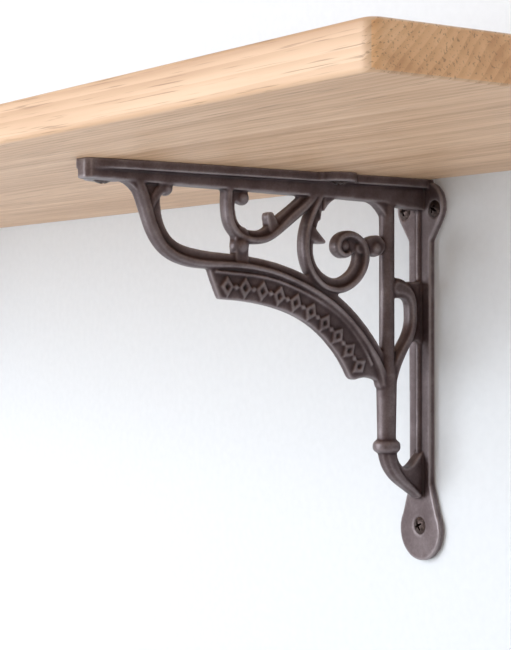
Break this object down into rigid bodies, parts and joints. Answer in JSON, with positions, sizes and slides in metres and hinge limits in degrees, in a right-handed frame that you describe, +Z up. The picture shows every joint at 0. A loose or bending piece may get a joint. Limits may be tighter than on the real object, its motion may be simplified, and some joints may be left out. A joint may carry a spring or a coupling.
{
  "type": "wall shelf",
  "caption": "Oak plank shelf carried on scrolled cast-iron wall brackets, fixed with countersunk screws and wall plugs.",
  "frame": {"origin": "on the wall face, at the level of the board's underside, half-way along the board", "axes": "+X along the wall, to the right as seen from the room; +Y into the wall; +Z up"},
  "size_m": [1.2, 0.3085, 0.221],
  "materials": {
    "oak": "oiled solid oak, satin",
    "cast_iron": "dark antiqued cast iron, waxed",
    "screw_steel": "dark bronzed steel",
    "plug_nylon": "moulded nylon"
  },
  "bodies": {
    "root": {"board": "oak", "bracket_left": "cast_iron", "wall_screw_left_upper_left": "screw_steel", "wall_plug_left_upper_left": "plug_nylon", "wall_screw_left_upper_right": "screw_steel", "wall_plug_left_upper_right": "plug_nylon", "wall_screw_left_lower": "screw_steel", "wall_plug_left_lower": "plug_nylon", "board_screw_left_rear": "screw_steel", "board_screw_left_front": "screw_steel", "bracket_right": "cast_iron", "wall_screw_right_upper_left": "screw_steel", "wall_plug_right_upper_left": "plug_nylon", "wall_screw_right_upper_right": "screw_steel", "wall_plug_right_upper_right": "plug_nylon", "wall_screw_right_lower": "screw_steel", "wall_plug_right_lower": "plug_nylon", "board_screw_right_rear": "screw_steel", "board_screw_right_front": "screw_steel"}
  },
  "joints": []
}
